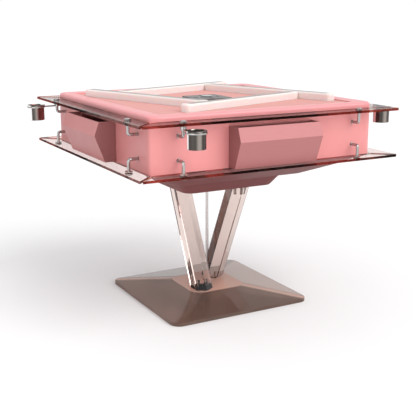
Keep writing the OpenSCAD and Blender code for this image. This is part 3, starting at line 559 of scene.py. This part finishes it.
def cup_outline(lip, tall):
    """From the middle of the foot out, up over the rolled collar and down inside."""
    side = lip - 0.003
    bore = side - 0.0015
    foot_rise, floor_top, corner = 0.0012, 0.003, 0.002
    collar_low, collar_break, lip_break = tall - 0.005, 0.0006, 0.0008
    foot = [(0.0, foot_rise), (0.0245, foot_rise), (0.027, 0.0), (side - foot_rise, 0.0),
            (side, foot_rise)]
    collar = [(side, collar_low), (lip - collar_break, collar_low),
              (lip, collar_low + collar_break), (lip, tall - lip_break), (lip - lip_break, tall)]
    inner = [(bore + 0.0004, tall), (bore, tall - 0.0006), (bore, floor_top + 0.0012),
             (bore - corner, floor_top), (0.0, floor_top)]
    return foot + collar + inner


def painted_shade_outline(lip, tall):
    """A thin skin of painted shade just inside the cup's bore and over its bottom."""
    bore = lip - 0.0045
    bottom, top, film, corner = 0.0031, tall - 0.003, 0.0003, 0.002
    outer = bore - 0.0001
    inner = outer - film
    return [(0.0, bottom), (bore - corner, bottom), (outer, bottom + 0.0012), (outer, top),
            (inner, top), (inner, bottom + 0.0014), (bore - corner, bottom + film),
            (0.0, bottom + film)]


for side in SIDES:
    low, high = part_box("cup_" + side)
    middle = (low + high) / 2
    spot = (middle.x, middle.y, low.z)
    lip, tall = (high.x - low.x) / 2, high.z - low.z
    cup = turned_mesh("cup_" + side, [(spot, 1, cup_outline(lip, tall))], steps=72)
    painted_shade_skin = turned_mesh("painted_shade_skin_" + side, [(spot, 1, painted_shade_outline(lip, tall))], steps=48)
    steel = pink_reflection_steel if side == "left" else plain_steel
    place_piece("spun_cup_" + side, cup, steel, "cup_" + side, "cup_steel", "cup_" + side)
    place_piece("cup_painted_shade_skin_" + side, painted_shade_skin, painted_shade_inside, "cup_" + side, "cup_steel")


# Racks. Four loose bars of frosted pale acrylic with rounded ends; along their tops a smooth
# grey strip between two bright edges is painted reflection.
def rack_tone(b, turn, tail_end):
    """Frosted white with a painted grey reflection as a strip along the top that stops short of
    both ends.
    """
    rack_outward, strip_half, strip_start, strip_stop = 0.25, 0.0150, tail_end + 0.022, 0.208
    c, s = math.cos(turn), math.sin(turn)
    along = b.place(X) * c + b.place(Y) * s
    off_axis = b.place(Y) * c - b.place(X) * s + rack_outward
    on_top = b.facing(Z).above(0.90)
    painted_top_reflection = on_top * (1.0 - off_axis.size().above(strip_half)) * along.between(
        strip_start, strip_stop)
    frost = b.speckle(6.0).blend((0.765, 0.70, 0.675, 1), (0.81, 0.745, 0.715, 1))
    return painted_top_reflection.blend(frost, (0.30, 0.27, 0.26, 1))


rack_turn, head_end, end_rack_long, side_rack_long = 18.5, 0.2285, 0.612, 0.638
for count, side in enumerate(SIDES):
    turn = math.radians(rack_turn + 90 * count)
    tail_end = head_end - (end_rack_long if side in ("front", "rear") else side_rack_long)
    frosted = finish(
        "frosted_acrylic_" + side,
        {"Subsurface Weight": 0.25, "Subsurface Scale": 0.02, "Specular IOR Level": 0.5},
        lambda b: {
            "Base Color": rack_tone(b, turn, tail_end),
            "Roughness": b.speckle(400.0) * 0.1 + 0.32,
            "Normal": b.raised(b.speckle(800.0, 2.0), 0.04, 0.0003)})
    dress("rack_" + side, frosted)

# Console. A dark grey lacquered cover on a lifting column of black plastic, with a clear
# dome over two ivory dice and four small grey buttons.
grey_lacquer = finish(
    "grey_lacquer", {"Specular IOR Level": 0.3, "Coat Roughness": 0.25},
    lambda b: {
        "Base Color": b.speckle(60.0).blend((0.085, 0.08, 0.08, 1), (0.12, 0.115, 0.115, 1)),
        "Roughness": b.speckle(90.0) * 0.1 + 0.34,
        "Coat Weight": b.speckle(20.0) * 0.1 + 0.1})
console_plastic = finish(
    "console_plastic", {},
    lambda b: {
        "Base Color": b.speckle(80.0).blend((0.018, 0.018, 0.02, 1), (0.035, 0.035, 0.038, 1)),
        "Roughness": b.speckle(300.0) * 0.2 + 0.45,
        "Normal": b.raised(b.speckle(600.0), 0.15, 0.0003)})
dome_plastic = finish(
    "dome_plastic", {"IOR": 1.49, "Transmission Weight": 1.0},
    lambda b: {
        "Base Color": b.speckle(9.0).blend((0.92, 0.92, 0.92, 1), (0.97, 0.97, 0.97, 1)),
        "Roughness": b.speckle(200.0) * 0.02 + 0.01})
ivory_plastic = finish(
    "ivory_plastic", {"Subsurface Weight": 0.1, "Subsurface Scale": 0.002},
    lambda b: {
        "Base Color": b.speckle(70.0).blend((0.78, 0.74, 0.66, 1), (0.86, 0.83, 0.76, 1)),
        "Roughness": b.speckle(300.0) * 0.1 + 0.25})
grey_plastic = finish(
    "grey_plastic", {},
    lambda b: {
        "Base Color": b.speckle(70.0).blend((0.20, 0.195, 0.19, 1), (0.27, 0.26, 0.255, 1)),
        "Roughness": b.speckle(300.0) * 0.1 + 0.3})
dress("console_cover", grey_lacquer)
dress("console_column", console_plastic)
dress("dice_dome", dome_plastic)
dress("dice", ivory_plastic)
for side in SIDES:
    dress("button_" + side, grey_plastic)

# Frame and drive inside the case. Black painted frame, bridge and motors, bare steel
# floor and runners, a spun aluminium drum on a steel spindle, and a rubber belt.
black_paint = finish(
    "black_paint", {},
    lambda b: {
        "Base Color": b.speckle(25.0).blend((0.02, 0.02, 0.022, 1), (0.045, 0.045, 0.05, 1)),
        "Roughness": b.speckle(120.0) * 0.25 + 0.4,
        "Normal": b.raised(b.speckle(420.0), 0.2, 0.0004)})
bare_steel = finish(
    "bare_steel", {"Metallic": 1.0},
    lambda b: {
        "Base Color": b.speckle(12.0, 4.0, (1, 8, 1)).blend(
            (0.44, 0.44, 0.45, 1), (0.58, 0.58, 0.60, 1)),
        "Roughness": b.speckle(40.0, 3.0, (1, 12, 1)) * 0.2 + 0.3})
spun_aluminium = finish(
    "spun_aluminium", {"Metallic": 1.0},
    lambda b: {
        "Base Color": b.speckle(20.0).blend((0.66, 0.67, 0.68, 1), (0.78, 0.79, 0.80, 1)),
        "Roughness": b.speckle(90.0) * 0.15 + 0.26})
belt_rubber = finish(
    "belt_rubber", {},
    lambda b: {
        "Base Color": b.speckle(150.0).blend((0.012, 0.012, 0.012, 1), (0.03, 0.03, 0.03, 1)),
        "Roughness": b.speckle(300.0) * 0.15 + 0.7,
        "Normal": b.raised(b.speckle(500.0), 0.3, 0.0005)})
raw_board = finish(
    "raw_board", {},
    lambda b: {
        "Base Color": b.speckle(70.0, 6.0).blend((0.40, 0.25, 0.13, 1), (0.58, 0.40, 0.23, 1)),
        "Roughness": b.speckle(200.0) * 0.15 + 0.75,
        "Normal": b.raised(b.speckle(260.0, 5.0), 0.4, 0.0008)})
for material, nodes in (
        (black_paint, ("inner_frame", "console_bridge", "drum_motor", "console_motor")),
        (bare_steel, ("chassis_plate", "drawer_runners", "leg_top_plate", "drum_spindle")),
        (spun_aluminium, ("drum_dish", "motor_wheel")),
        (console_plastic, ("control_box", "lift_guides", "pickup_units")),
        (belt_rubber, ("drive_belt",)),
        (raw_board, ("tabletop_panel",))):
    for node in nodes:
        dress(node, material)

# Mains inlet. A moulded black plate under the rear of the case with the socket and a
# red rocker switch.
red_plastic = finish(
    "red_plastic", {},
    lambda b: {
        "Base Color": b.speckle(90.0).blend((0.36, 0.02, 0.015, 1), (0.48, 0.03, 0.02, 1)),
        "Roughness": b.speckle(300.0) * 0.1 + 0.28})
dress("power_inlet", console_plastic)
dress("power_switch", red_plastic)

low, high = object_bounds()
